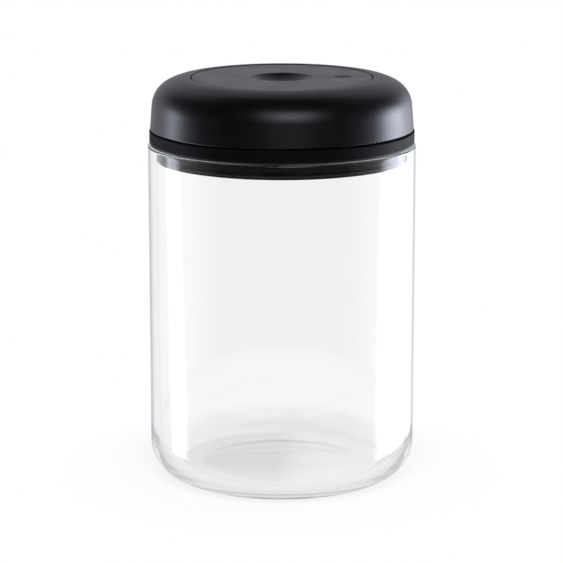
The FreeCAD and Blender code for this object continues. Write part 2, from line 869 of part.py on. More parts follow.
def top_plate():
    """The still disc inside the cap: button guide, snap skirt and indicator socket."""
    body = new_body("top_plate")
    skirt = column_bore - size.plate_fit
    guide = guide_bore + size.guide_wall
    turned(body, "plate", [
        (guide_bore, plate_top),
        *rounded(size.plate_radius, plate_top, size.plate_round, OUTWARD, DOWN),
        (size.plate_radius, plate_under),
        (skirt, plate_under),
        *snap_outline(skirt, as_size(0)),
        (skirt, skirt_bottom),
        (skirt - size.plate_skirt_wall, skirt_bottom),
        (skirt - size.plate_skirt_wall, plate_under),
        (guide, plate_under),
        (guide, guide_bottom),
        (guide_bore, guide_bottom),
    ])
    socket = new_sketch(body, "socket", "XY_Plane", offset=skirt_bottom)
    draw_circle(socket, indicator_circle, 0, skirt - indicator_circle)
    extruded(body, "socket", socket, size.plate_skirt_height)
    lens_seat = size.lens_radius + size.lens_fit
    sleeve_seat = size.sleeve_radius + size.lens_fit
    turned(body, "window", [
        (0, plate_top),
        (lens_seat, plate_top),
        (lens_seat, lens_under),
        (sleeve_bore, lens_under),
        (sleeve_bore, sleeve_top),
        (sleeve_seat, sleeve_top),
        (sleeve_seat, skirt_bottom),
        (0, skirt_bottom),
    ], True, indicator_circle)


def indicator_lens():
    sizes = {"Radius": size.lens_radius, "Height": size.lens_thickness}
    primitive("Part::Cylinder", "indicator_lens", sizes, indicator_circle, lens_under)


def indicator_sleeve():
    """The coloured tube that shows in the window once the pin has dropped."""
    body = new_body("indicator_sleeve")
    tube = box_outline(sleeve_bore, size.sleeve_radius, sleeve_top - size.sleeve_height, sleeve_top)
    turned(body, "tube", tube, False, indicator_circle)


def indicator_pin():
    """Head in the window, stem, and a small piston over the port to the jar."""
    body = new_body("indicator_pin")
    head = sleeve_bore - size.pin_head_gap
    head_under = pin_top - size.pin_head_length
    turned(body, "pin", [
        (0, pin_piston_bottom),
        (pin_piston_radius, pin_piston_bottom),
        (pin_piston_radius, pin_seal_height - pin_gland_half),
        (pin_gland, pin_seal_height - pin_gland_half),
        (pin_gland, pin_seal_height + pin_gland_half),
        (pin_piston_radius, pin_seal_height + pin_gland_half),
        (pin_piston_radius, pin_piston_top),
        (size.pin_stem, pin_piston_top),
        (size.pin_stem, head_under),
        (head, head_under),
        (head, pin_top),
        (0, pin_top),
    ], False, indicator_circle)


def indicator_seal():
    sizes = {"Radius1": pin_seal_circle, "Radius2": size.pin_seal_radius}
    primitive("Part::Torus", "indicator_seal", sizes, indicator_circle, pin_seal_height)


def indicator_spring():
    body = new_body("indicator_spring")
    coiled(body, indicator_circle, size.indicator_spring_radius, size.indicator_spring_wire,
           well_top, size.indicator_spring_length, size.indicator_spring_turns)


def on_lower_arc(way, radius):
    """The point in a given direction from the centre of the shoulder's lower arc."""
    return (lower_centre[0] + way[0] * radius, lower_centre[1] + way[1] * radius)


def twist_cap():
    """The domed cap: a drafted wall that runs smoothly into a shoulder of two arcs."""
    body = new_body("twist_cap")
    inner_lower = lower_arc - size.cap_wall
    inner_upper = upper_arc - size.cap_wall
    inner_wall_top = on_lower_arc(draft_way, inner_lower)
    inner_foot = inner_wall_top[0] + (inner_wall_top[1] - cap_bottom) * slope
    turned(body, "shell", [
        *rounded(cap_radius, cap_bottom, size.cap_foot_round, OUTWARD, UP),
        on_lower_arc(draft_way, lower_arc),
        on_lower_arc(join_way, lower_arc) + (lower_arc, 1),
        (crest_radius, lid_top, upper_arc, 1),
        *rounded(cap_opening, lid_top, size.crest_round, INWARD, DOWN),
        (cap_opening, ledge_top),
        (ledge_bore, ledge_top),
        (ledge_bore, web_top),
        (crest_radius, web_top),
        (crest_radius, lid_top - size.cap_wall),
        on_lower_arc(join_way, inner_lower) + (inner_upper, -1),
        inner_wall_top + (inner_lower, -1),
        (inner_foot, cap_bottom),
    ])
    hole = turned(body, "screw_hole", cap_screw_outline(size.screw_fit, web_top), True, cap_screw_circle)
    repeated(body, [hole], RING_SCREW_COUNT)


def cap_screw_outline(fit, tip):
    """Half section of a countersunk screw, or with a fit of the hole for it."""
    cone_under = ledge_top - (size.cap_screw_head - size.cap_screw_radius)
    return [
        (0, ledge_top),
        (size.cap_screw_head + fit, ledge_top),
        (size.cap_screw_radius + fit, cone_under),
        (size.cap_screw_radius + fit, tip),
        (0, tip),
    ]


def cap_screws():
    body = new_body("cap_screws")
    outline = cap_screw_outline(0, web_top - size.cap_screw_grip)
    screw = turned(body, "screw", outline, False, cap_screw_circle)
    repeated(body, [screw], RING_SCREW_COUNT)


def cam_drum():
    """The drum under the cap, with a helical groove for each follower roller."""
    body = new_body("cam_drum")
    # The upper edge is bevelled where the cap's shoulder comes down over it
    shell = size.cap_wall + size.drum_shell_gap
    lower_room = lower_arc - shell
    upper_room = upper_arc - shell
    wall_reach = drum_radius - lower_centre[0]
    web_rise = web_top - upper_centre[1]
    shell_over_wall = lower_centre[1] + root(lower_room * lower_room - wall_reach * wall_reach)
    shell_round_web = upper_centre[0] + root(upper_room * upper_room - web_rise * web_rise)
    wall_top = least(web_top - size.drum_chamfer, shell_over_wall)
    web_edge = least(drum_radius - size.drum_chamfer, shell_round_web)
    turned(body, "drum", [
        (drum_bore, floor_top + size.drum_foot_gap),
        (drum_radius, floor_top + size.drum_foot_gap),
        (drum_radius, flange_under),
        (flange_radius, flange_under),
        (flange_radius, flange_top),
        (drum_radius, flange_top),
        (drum_radius, wall_top),
        (web_edge, web_top),
        (ledge_bore, web_top),
        (ledge_bore, web_under),
        (drum_bore, web_under),
    ])
    hole = new_sketch(body, "screw_hole", "XY_Plane", offset=web_top)
    draw_circle(hole, cap_screw_circle, 0, size.cap_screw_radius + size.screw_fit)
    holes = extruded(body, "screw_hole", hole, size.web_thickness, cut=True)
    repeated(body, [holes], RING_SCREW_COUNT)

    lead_in_rise = size.stroke * size.groove_lead_in / size.twist_angle
    half = size.roller_radius + size.groove_gap
    start = pin_height - lead_in_rise
    profile = new_sketch(body, "groove", "XZ_Plane", size.groove_lead_in.value)
    profile.setExpression(".AttachmentOffset.Rotation.Angle", size.groove_lead_in.text)
    inside = drum_bore - size.running_gap
    draw_outline(profile, box_outline(inside, groove_radius, start - half, start + half))
    groove = body.newObject("PartDesign::SubtractiveHelix", "cam_drum_groove")
    groove.Profile = profile
    groove.ReferenceAxis = (profile, ["V_Axis"])
    groove.Mode = "height-turns-angle"
    groove.LeftHanded = True
    rise = size.stroke + lead_in_rise * 2
    turns = (size.twist_angle + size.groove_lead_in * 2) / 360
    groove.Height = rise.value
    groove.Turns = turns.value
    groove.setExpression("Height", rise.text)
    groove.setExpression("Turns", turns.text)
    repeated(body, [groove], DRIVE_COUNT)


def pump_piston():
    """A ring piston with two seal glands and three keyed arms for the follower pins."""
    body = new_body("pump_piston")
    turned(body, "ring", [
        (inner_skirt, piston_top),
        (outer_skirt, piston_top),
        (outer_skirt, skirt_top),
        (piston_radius, skirt_top),
        (piston_radius, piston_bottom),
        (piston_bore, piston_bottom),
        (piston_bore, gland_bottom),
        (inner_gland, gland_bottom),
        (inner_gland, gland_top),
        (piston_bore, gland_top),
        (piston_bore, skirt_top),
        (inner_skirt, skirt_top),
    ])
    arm_half = size.arm_width / 2
    post = new_sketch(body, "arm", "XY_Plane", offset=piston_top)
    draw_outline(post, box_outline(arm_inner, arm_outer, -arm_half, arm_half))
    arm = extruded(body, "arm", post, arm_top - piston_top)
    key_half = size.key_width / 2
    tab = new_sketch(body, "key", "XY_Plane", offset=key_bottom)
    draw_outline(tab, box_outline(column_radius - size.key_depth, arm_inner, -key_half, key_half))
    key = extruded(body, "key", tab, arm_top - key_bottom)
    bore = new_sketch(body, "pin_hole", "YZ_Plane", offset=arm_outer)
    draw_circle(bore, 0, pin_height, size.pin_radius)
    pin_hole = extruded(body, "pin_hole", bore, size.pin_seat, cut=True)
    repeated(body, [arm, key, pin_hole], DRIVE_COUNT)
    turned(body, "outer_gland", box_outline(outer_gland, cylinder_bore, gland_bottom, gland_top), cut=True)
    valve_holes(body, OUTLET_ANGLE, piston_top, size.piston_plate)


def piston_outer_seal():
    sizes = {"Radius1": outer_seal_circle, "Radius2": size.seal_radius}
    primitive("Part::Torus", "piston_outer_seal", sizes, as_size(0), seal_height)


def piston_inner_seal():
    sizes = {"Radius1": inner_seal_circle, "Radius2": size.seal_radius}
    primitive("Part::Torus", "piston_inner_seal", sizes, as_size(0), seal_height)


def follower_pins():
    body = new_body("follower_pins")
    sketch = new_sketch(body, "pin", "YZ_Plane", offset=arm_outer - size.pin_seat)
    draw_circle(sketch, 0, pin_height, size.pin_radius)
    pin = extruded(body, "pin", sketch, pin_end - arm_outer + size.pin_seat)
    repeated(body, [pin], DRIVE_COUNT)


def follower_rollers():
    body = new_body("follower_rollers")
    sketch = new_sketch(body, "roller", "YZ_Plane", offset=pin_end - size.roller_length)
    draw_circle(sketch, 0, pin_height, size.roller_radius)
    draw_circle(sketch, 0, pin_height, size.pin_radius + size.screw_fit)
    roller = extruded(body, "roller", sketch, size.roller_length)
    repeated(body, [roller], DRIVE_COUNT)


def button_cap():
    """The dished button top and its skirt, open below."""
    body = new_body("button_cap")
    chord = size.button_radius - size.button_round
    dish_square = chord * chord + size.button_dish * size.button_dish
    dish_radius = dish_square / (size.button_dish * 2)
    bottom = plate_top - size.button_dish
    bore = size.button_radius - size.button_wall
    turned(body, "shell", [
        (0, bottom),
        (chord, plate_top, dish_radius, 1),
        (size.button_radius, plate_top - size.button_round, size.button_round, -1),
        (size.button_radius, carrier_top),
        (bore, carrier_top),
        (bore, bottom - size.button_skin),
        (0, bottom - size.button_skin),
    ])


def button_carrier():
    """The flanged plug under the button: stop, spring seat and stem bush in one."""
    body = new_body("button_carrier")
    spigot = size.button_radius - size.button_wall - size.carrier_fit
    flange = size.button_radius + size.carrier_lap
    bush = size.stem_radius + size.screw_fit
    turned(body, "plug", [
        (bush, carrier_under),
        (flange, carrier_under),
        (flange, carrier_top),
        (spigot, carrier_top),
        (spigot, spigot_top),
        (bush, spigot_top),
    ])


def valve_stem():
    """Rod with the valve plate at its foot and a groove for the clip near its head."""
    body = new_body("valve_stem")
    poppet_top = well_under - size.poppet_seal_thickness
    poppet_under = poppet_top - size.poppet_thickness
    groove_top = spigot_top + size.clip_thickness
    neck = size.stem_radius - size.clip_groove
    stem_top = groove_top + size.stem_tail
    turned(body, "rod", [
        (0, poppet_under),
        (size.poppet_radius, poppet_under),
        (size.poppet_radius, poppet_top),
        (size.stem_radius, poppet_top),
        (size.stem_radius, spigot_top),
        (neck, spigot_top),
        (neck, groove_top),
        (size.stem_radius, groove_top),
        (size.stem_radius, stem_top),
        (0, stem_top),
    ])


def stem_clip():
    body = new_body("stem_clip")
    inner = size.stem_radius - size.clip_groove + size.screw_fit
    outer = size.stem_radius + size.clip_reach
    turned(body, "ring", box_outline(inner, outer, spigot_top, spigot_top + size.clip_thickness))


def poppet_seal():
    body = new_body("poppet_seal")
    inner = size.stem_radius + size.screw_fit
    seat = well_under - size.poppet_seal_thickness
    turned(body, "ring", box_outline(inner, size.poppet_radius, seat, well_under))


def button_spring():
    body = new_body("button_spring")
    coiled(body, None, size.button_spring_radius, size.button_spring_wire,
           well_top, carrier_under - well_top, size.button_spring_turns)


def write_parts():
    """Check every object, then write each sub-part to its own file."""
    doc.recompute()
    for thing in doc.Objects:
        if "Invalid" in thing.State or "Error" in thing.State:
            raise RuntimeError(f"{thing.Name} did not build: {thing.State}")
    os.makedirs("parts", exist_ok=True)
    for thing in parts:
        shape = thing.Shape
        if shape.isNull() or not shape.isValid():
            raise RuntimeError(f"{thing.Label} has no valid shape")
        shape.exportStep(f"parts/{thing.Label}.step")
        print(f"{thing.Label}: {len(shape.Solids)} solids, {shape.Volume:.0f} mm3")


for build in (
    glass_jar,
    lid_base, lid_gasket, bottom_cover, cover_screws, filter_cap, filter_disc, intake_valves,
    retainer_ring, retainer_screws, thrust_washer, top_plate,
    indicator_lens, indicator_sleeve, indicator_spring, button_spring,
    twist_cap, cam_drum, cap_screws,
    pump_piston, piston_outer_seal, piston_inner_seal, follower_pins, follower_rollers, outlet_valves,
    button_cap, button_carrier, valve_stem, stem_clip, poppet_seal,
    indicator_pin, indicator_seal,
):
    build()
write_parts()
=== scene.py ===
import json
import math

import bmesh
import bpy
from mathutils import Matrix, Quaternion, Vector


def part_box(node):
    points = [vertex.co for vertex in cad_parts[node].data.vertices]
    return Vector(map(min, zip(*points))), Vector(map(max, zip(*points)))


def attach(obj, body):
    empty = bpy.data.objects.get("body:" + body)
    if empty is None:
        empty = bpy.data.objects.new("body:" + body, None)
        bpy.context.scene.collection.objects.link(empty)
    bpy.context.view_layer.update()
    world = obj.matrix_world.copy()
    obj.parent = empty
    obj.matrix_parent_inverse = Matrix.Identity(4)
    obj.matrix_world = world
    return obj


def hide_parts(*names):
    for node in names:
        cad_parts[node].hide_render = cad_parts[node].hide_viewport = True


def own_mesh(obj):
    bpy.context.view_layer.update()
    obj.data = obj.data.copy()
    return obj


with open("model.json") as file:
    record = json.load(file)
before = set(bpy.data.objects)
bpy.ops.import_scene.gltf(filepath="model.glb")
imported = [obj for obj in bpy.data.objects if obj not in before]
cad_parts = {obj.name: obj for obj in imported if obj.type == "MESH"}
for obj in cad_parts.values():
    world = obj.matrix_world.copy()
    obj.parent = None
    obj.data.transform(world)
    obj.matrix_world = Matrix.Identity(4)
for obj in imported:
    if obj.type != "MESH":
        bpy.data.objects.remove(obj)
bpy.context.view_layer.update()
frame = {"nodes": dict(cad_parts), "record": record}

# Vacuum seal canister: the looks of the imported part. Metres, +Z up, the front faces -Y.

MM = 0.001

# Glass jar, as in the solids
JAR_RADIUS, _, JAR_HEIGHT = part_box("glass_jar")[1]
JAR_WALL = 3.5 * MM
JAR_FLOOR = 4.8 * MM
JAR_CORNER = 15.7 * MM
JAR_PUSHUP = 0.8 * MM
FOOT_WIDTH = 5.5 * MM
RIM_ROUND = 1.2 * MM

# Fineness of the jar's mesh, with a narrow row of faces beside each curve
JAR_SEGMENTS = 256
SUPPORT = 0.5 * MM
PUSHUP_STEPS = 16
CORNER_STEPS = 40
RIM_STEPS = 12
INNER_CORNER_STEPS = 32

# Springs, by the radius of their wire
BUTTON_WIRE = 0.45 * MM
BUTTON_TURNS = 6
INDICATOR_WIRE = 0.22 * MM
INDICATOR_TURNS = 4
COIL_STEPS = 28
COIL_SIDES = 12

# Screws of the bottom cover, by their radii
SCREW_HEAD = 2.4 * MM
SCREW_HEAD_HEIGHT = 1.0 * MM
SCREW_SHANK = 1.2 * MM
SCREW_EDGE = 0.25 * MM
RECESS_REACH = 1.35 * MM
RECESS_HALF = 0.34 * MM
RECESS_DEPTH = 0.7 * MM
RECESS_TAPER = 0.6
SCREW_SEGMENTS = 48
SCREW_CREASE_DEGREES = 30

# Camera of the photograph, its pitch in degrees below level
CAMERA_PLACE = (-0.00018, -1.08907, 0.33432)
CAMERA_PITCH = 12.747
CAMERA_LENS = 158.5
CAMERA_REACH = 50

# Ranges. Of a pair, the first is a value's own range and the second what it is taken to
WHOLE = (0, 1)
NOISE_MIDDLE = (0.3, 0.7)

# Floor. Its pairs go by the distance from the middle
FLOOR_RADIUS = 0.105
FLOOR_SEGMENTS = 128
FLOOR_LIFT = 0.05 * MM
FLOOR_TONE = (0.17, 0.18)
FLOOR_ROUGHNESS = 0.9
FLOOR_EDGE = (0.072, 0.102)
FLOOR_ROUND_JAR = (0.06, 0.102)
FLOOR_FADE = FLOOR_EDGE, (1, 0)
FLOOR_GLOW = FLOOR_EDGE, (0.86, 1)
FOOT_MIRRORED = (0.038, 0.044), (0.95, 0.66)
FLOOR_MIRRORED = FLOOR_ROUND_JAR, (1, 0.5)
FLOOR_IN_GLASS = FLOOR_ROUND_JAR, (0.9, 0.6)

# Studio as a mirror shows it, by the X, Y or Z of the direction
BEHIND_RISE = (-0.1, 0.6), (0.03, 0.62)
BEHIND_FALL = (0.75, 1), (0, 0.12)
LOWER_SKY = (0.26, 0.42), (1, 0.7)
UPPER_SKY = (0.74, 0.92), (1, 0.07)
SIDE_SHADE = (0.45, 0.75), (0, 0.85)
SIDE_SHADE_RISE = (0.2, 0.4), (0, 1)
GROUND_FALL = (-0.29, -0.18), (1, 0)
GROUND_BEHIND = (-0.2, 0.3), (0.12, 0.62)

# Studio as it shows after mirrors inside the glass
STEEP_RISE = (0.25, 0.6), (0, 0.9)
AROUND_RISE = (-0.5, 0.1), (0.05, 0.95)
LEFT_DIM_FALL = (-0.34, -0.2), (1, 0.2)
LEFT_DIM_RISE = (-0.03, 0.03), (0.2, 1)
TRAPPED_LEVEL = 0.85

# Limits between whole numbers of bounces
NO_BOUNCE = 0.5
ONE_BOUNCE = 1.5

# Bounces that a path may take in the thick glass
MOST_BOUNCES = 64
MOST_GLASS_BOUNCES = 48

# Lamps, which fade by the distance from the middle as a share of their width or height
LAMP_TARGET = Vector((0, 0, 0.12))
LAMP_MIDDLE = 0.5
LAMP_FADE = (0.2, 0.5), (1, 0)

# Colours of light
WHITE = (1, 1, 1)
COOL = (0.96, 0.95, 1.07)
SIDE_COOL = (0.92, 0.97, 1.12)


# Node helpers

def feed(tree, node, sockets):
    """Set a node's sockets to values, or link them to other sockets."""
    for name, value in sockets.items():
        if isinstance(value, bpy.types.NodeSocket):
            tree.links.new(value, node.inputs[name])
        else:
            node.inputs[name].default_value = value


def add_node(tree, kind, sockets=None, **settings):
    node = tree.nodes.new(kind)
    for name, value in settings.items():
        setattr(node, name, value)
    feed(tree, node, sockets or {})
    return node


def new_material(name):
    material = bpy.data.materials.new(name)
    material.use_nodes = True
    tree = material.node_tree
    return material, tree, tree.nodes["Principled BSDF"]


def object_place(tree):
    return add_node(tree, "ShaderNodeTexCoord").outputs["Object"]


def stretched(tree, place, factors):
    return add_node(tree, "ShaderNodeMapping", {"Vector": place, "Scale": factors}).outputs[0]


def noise(tree, place, scale, detail=3.0, roughness=0.55, distortion=0.0):
    sockets = {
        "Vector": place,
        "Scale": scale,
        "Detail": detail,
        "Roughness": roughness,
        "Distortion": distortion,
    }
    return add_node(tree, "ShaderNodeTexNoise", sockets).outputs[0]


def span(tree, value, source, target):
    """The value, taken from one range to another and clamped there."""
    sockets = {
        "Value": value,
        "From Min": source[0],
        "From Max": source[1],
        "To Min": target[0],
        "To Max": target[1],
    }
    return add_node(tree, "ShaderNodeMapRange", sockets).outputs[0]


def blended(tree, share, first, second):
    """A colour between two colours."""
    sockets = {0: share, 6: (*first, 1), 7: (*second, 1)}
    return add_node(tree, "ShaderNodeMix", sockets, data_type="RGBA").outputs[2]


def maths(tree, operation, first, second=0):
    return add_node(tree, "ShaderNodeMath", {0: first, 1: second}, operation=operation).outputs[0]


def product(tree, first, *others):
    for other in others:
        first = maths(tree, "MULTIPLY", first, other)
    return first


def largest(tree, first, *others):
    for other in others:
        first = maths(tree, "MAXIMUM", first, other)
    return first


def bump(tree, height, strength, distance, below=None):
    """The surface normal raised by a height, on top of another bump where there is one."""
    sockets = {"Height": height, "Strength": strength, "Distance": distance}
    if below:
        sockets["Normal"] = below
    return add_node(tree, "ShaderNodeBump", sockets).outputs[0]


# Materials

def moulded(name, dark, pale, rough, grain, depth, specular=0.5):
    """Grained injection-moulded plastic with faint tone and handling marks."""
    material, tree, bsdf = new_material(name)
    place = object_place(tree)
    tone = noise(tree, place, scale=24, detail=5, roughness=0.6)
    handled = noise(tree, place, scale=70, detail=6, roughness=0.65, distortion=0.5)
    coarse = noise(tree, place, scale=0.4 / grain, detail=2, roughness=0.5)
    fine = noise(tree, place, scale=1 / grain, detail=2, roughness=0.5)
    share = span(tree, tone, source=(0.35, 0.65), target=WHOLE)
    grained = bump(tree, coarse, strength=0.3, distance=depth * 2)
    feed(tree, bsdf, {
        "Base Color": blended(tree, share, dark, pale),
        "Roughness": span(tree, handled, source=(0.35, 0.7), target=rough),
        "Specular IOR Level": specular,
        "Normal": bump(tree, fine, strength=0.5, distance=depth, below=grained),
    })
    return material


def glass(name, dull, tint, density):
    """Clear pressed glass, faintly wavy, a little deeper in colour where it is thick."""
    material, tree, bsdf = new_material(name)
    place = object_place(tree)
    cloud = noise(tree, place, scale=14, detail=2)
    film = noise(tree, place, scale=45, detail=4, roughness=0.6, distortion=0.3)
    waves = noise(tree, stretched(tree, place, (1, 1, 0.3)), scale=55, detail=1, roughness=0.4)
    clear = span(tree, cloud, NOISE_MIDDLE, WHOLE)
    feed(tree, bsdf, {
        "Base Color": blended(tree, clear, dull, WHITE),
        "Roughness": span(tree, film, source=(0.4, 0.8), target=(0, 0.008)),
        "Transmission Weight": 1,
        "IOR": 1.45,
        "Normal": bump(tree, waves, strength=0.05, distance=0.1 * MM),
    })
    depth = add_node(tree, "ShaderNodeVolumeAbsorption", {"Color": (*tint, 1), "Density": density})
    feed(tree, tree.nodes["Material Output"], {"Volume": depth.outputs[0]})
    return material


def silicone(name, dark, pale, rough):
    """Moulded rubber with a satin skin and a trace of dust."""
    material, tree, bsdf = new_material(name)
    place = object_place(tree)
    cloud = noise(tree, place, scale=40, detail=4)
    specks = noise(tree, place, scale=900, detail=2, roughness=0.5)
    skin = noise(tree, place, scale=1600, detail=2)
    dust = span(tree, specks, source=(0.62, 0.75), target=WHOLE)
    cloud_share = product(tree, cloud, 0.6)
    dust_share = product(tree, dust, 0.3)
    share = maths(tree, "ADD", cloud_share, dust_share)
    feed(tree, bsdf, {
        "Base Color": blended(tree, share, dark, pale),
        "Roughness": span(tree, cloud, NOISE_MIDDLE, rough),
        "Sheen Weight": 0.03,
        "Normal": bump(tree, skin, strength=0.25, distance=0.02 * MM),
    })
    return material


def acetal(name, dark, pale):
    """Natural machine plastic, slightly translucent, with fine tool lines."""
    material, tree, bsdf = new_material(name)
    place = object_place(tree)
    cloud = noise(tree, place, scale=60, detail=4)
    lines = noise(tree, stretched(tree, place, (0.05, 0.05, 1)), scale=3000, detail=2)
    feed(tree, bsdf, {
        "Base Color": blended(tree, cloud, dark, pale),
        "Roughness": span(tree, cloud, NOISE_MIDDLE, target=(0.34, 0.46)),
        "Subsurface Weight": 0.15,
        "Subsurface Scale": 1 * MM,
        "Normal": bump(tree, lines, strength=0.2, distance=0.02 * MM),
    })
    return material


def steel(name, dark, pale):
    """Bright stainless with drawn lines and light staining."""
    material, tree, bsdf = new_material(name)
    place = object_place(tree)
    stain = noise(tree, place, scale=120, detail=4)
    drawn = noise(tree, stretched(tree, place, (1, 1, 0.08)), scale=2600, detail=3)
    feed(tree, bsdf, {
        "Base Color": blended(tree, stain, dark, pale),
        "Metallic": 1,
        "Roughness": span(tree, drawn, NOISE_MIDDLE, target=(0.2, 0.36)),
        "Normal": bump(tree, drawn, strength=0.15, distance=0.01 * MM),
    })
    return material


def polished(name, dark, pale, rough, cloud_scale, ripple_scale, cover=1):
    """Smooth plastic with a faint ripple. With a cover under 1, what lies under it shows."""
    material, tree, bsdf = new_material(name)
    place = object_place(tree)
    cloud = noise(tree, place, scale=cloud_scale)
    ripple = noise(tree, place, scale=ripple_scale, detail=2)
    feed(tree, bsdf, {
        "Base Color": blended(tree, cloud, dark, pale),
        "Roughness": span(tree, cloud, NOISE_MIDDLE, rough),
        "Alpha": cover,
        "Normal": bump(tree, ripple, strength=0.1, distance=0.01 * MM),
    })
    return material


def felt(name, dark, pale):
    """Pressed fibres that cross in all directions."""
    material, tree, bsdf = new_material(name)
    place = object_place(tree)
    strands = [
        noise(tree, stretched(tree, place, way), scale=1500, detail=4, roughness=0.7, distortion=1.2)
        for way in ((1, 0.12, 1), (0.12, 1, 1))
    ]
    fibres = largest(tree, *strands)
    raised = (0.4, 0.75)
    feed(tree, bsdf, {
        "Base Color": blended(tree, span(tree, fibres, raised, WHOLE), dark, pale),
        "Roughness": span(tree, fibres, raised, target=(0.85, 0.97)),
        "Sheen Weight": 0.4,
        "Normal": bump(tree, fibres, strength=0.6, distance=0.08 * MM),
    })
    return material


def make_materials():
    """A material for each slot of the record."""
    return {
        "jar_glass": glass(
            "jar_glass", dull=(0.995, 0.998, 0.997), tint=(0.88, 0.93, 0.92), density=5),
        "cap_plastic": moulded(
            "cap_plastic", dark=(0.0018, 0.0018, 0.0022), pale=(0.0034, 0.0034, 0.0041),
            rough=(0.3, 0.36), grain=0.25 * MM, depth=0.02 * MM),
        "base_plastic": moulded(
            "base_plastic", dark=(0.0020, 0.0020, 0.0024), pale=(0.0036, 0.0036, 0.0043),
            rough=(0.52, 0.62), grain=0.35 * MM, depth=0.04 * MM, specular=0.07),
        "pump_plastic": moulded(
            "pump_plastic", dark=(0.020, 0.020, 0.022), pale=(0.030, 0.030, 0.033),
            rough=(0.4, 0.5), grain=0.3 * MM, depth=0.02 * MM),
        "seal_silicone": silicone(
            "seal_silicone", dark=(0.003, 0.003, 0.0036), pale=(0.008, 0.008, 0.0095),
            rough=(0.45, 0.6)),
        "valve_silicone": silicone(
            "valve_silicone", dark=(0.62, 0.61, 0.58), pale=(0.78, 0.77, 0.74),
            rough=(0.4, 0.55)),
        "drive_plastic": acetal(
            "drive_plastic", dark=(0.72, 0.70, 0.65), pale=(0.83, 0.82, 0.78)),
        "steel": steel("steel", dark=(0.5, 0.5, 0.5), pale=(0.66, 0.66, 0.65)),
        "indicator_green": polished(
            "indicator_green", dark=(0.05, 0.40, 0.11), pale=(0.09, 0.55, 0.19),
            rough=(0.14, 0.26), cloud_scale=300, ripple_scale=1200),
        "lens_clear": polished(
            "lens_clear", dark=(0.02, 0.024, 0.023), pale=(0.05, 0.056, 0.054),
            rough=(0.08, 0.16), cloud_scale=400, ripple_scale=900, cover=0.3),
        "filter_felt": felt("filter_felt", dark=(0.55, 0.53, 0.48), pale=(0.86, 0.85, 0.81)),
    }


def dress_nodes(materials):
    """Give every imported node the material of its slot."""
    for row in frame["record"]["subparts"]:
        slots = frame["nodes"][row["node"]].data.materials
        slots.clear()
        slots.append(materials[row["material_slot"]])


# Mesh helpers

def meshed(shape, name):
    mesh = bpy.data.meshes.new(name)
    shape.to_mesh(mesh)
    shape.free()
    return mesh


def closed_mesh(shape, name):
    """The mesh of a closed shape, its faces turned outward."""
    bmesh.ops.recalc_face_normals(shape, faces=shape.faces)
    return meshed(shape, name)


def round_angles(count):
    """The angles of evenly spaced points on a circle."""
    return [2 * math.pi * step / count for step in range(count)]


def ring(shape, x, y, z, radius, segments):
    """A level circle of points."""
    return [
        shape.verts.new((x + radius * math.cos(angle), y + radius * math.sin(angle), z))
        for angle in round_angles(segments)
    ]


def joined(shape, loops):
    """Faces between each loop of points and the next."""
    for first, second in zip(loops, loops[1:]):
        for step in range(len(first)):
            after = (step + 1) % len(first)
            shape.faces.new((first[step], first[after], second[after], second[step]))


def tipped(shape, loop, tip):
    """Faces from a loop of points to one point."""
    for step in range(len(loop)):
        shape.faces.new((loop[step - 1], loop[step], tip))


def arc(across, up, radius, start, end, steps):
    """Points of an arc in the half section, angles in degrees from outward."""
    angles = [math.radians(start + (end - start) * step / steps) for step in range(steps + 1)]
    return [(across + radius * math.cos(angle), up + radius * math.sin(angle)) for angle in angles]


def new_piece(name, mesh, material, body):
    """A smooth-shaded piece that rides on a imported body."""
    mesh.materials.append(material)
    mesh.shade_smooth()
    piece = bpy.data.objects.new(name, mesh)
    bpy.context.scene.collection.objects.link(piece)
    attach(piece, body)
    return piece


# Glass jar

def jar_outline():
    """The half section of the jar, from the underside's middle round to the floor's middle."""
    foot_outer = JAR_RADIUS - JAR_CORNER
    foot_inner = foot_outer - FOOT_WIDTH
    dome = (foot_inner ** 2 + JAR_PUSHUP ** 2) / (2 * JAR_PUSHUP)
    reach = math.degrees(math.asin(foot_inner / dome))
    bore = JAR_RADIUS - JAR_WALL
    inner_corner = JAR_CORNER - JAR_WALL
    shoulder = JAR_HEIGHT - RIM_ROUND
    return [
        *arc(0, JAR_PUSHUP - dome, dome, 90, 90 - reach, PUSHUP_STEPS),
        (foot_inner + SUPPORT, 0),
        (foot_outer - SUPPORT, 0),
        *arc(foot_outer, JAR_CORNER, JAR_CORNER, -90, 0, CORNER_STEPS),
        (JAR_RADIUS, JAR_CORNER + SUPPORT),
        (JAR_RADIUS, shoulder - SUPPORT),
        *arc(JAR_RADIUS - RIM_ROUND, shoulder, RIM_ROUND, 0, 90, RIM_STEPS),
        *arc(bore + RIM_ROUND, shoulder, RIM_ROUND, 90, 180, RIM_STEPS),
        (bore, shoulder - SUPPORT),
        (bore, JAR_FLOOR + inner_corner + SUPPORT),
        *arc(bore - inner_corner, JAR_FLOOR + inner_corner, inner_corner, 0, -90, INNER_CORNER_STEPS),
        (bore - inner_corner - SUPPORT, JAR_FLOOR),
        (0, JAR_FLOOR),
    ]


def lathed(name, outline):
    """A mesh turned about Z from a half section that starts and ends on the axis."""
    shape = bmesh.new()
    rings = [ring(shape, 0, 0, up, across, JAR_SEGMENTS) for across, up in outline[1:-1]]
    joined(shape, rings)
    for (_, up), end in ((outline[0], rings[0]), (outline[-1], rings[-1])):
        tipped(shape, end, shape.verts.new((0, 0, up)))
    return closed_mesh(shape, name)


def add_jar(material):
    mesh = lathed("jar_glass_body", jar_outline())
    jar = new_piece("jar_glass_body", mesh, material, "jar")
    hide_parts("glass_jar")


# Springs

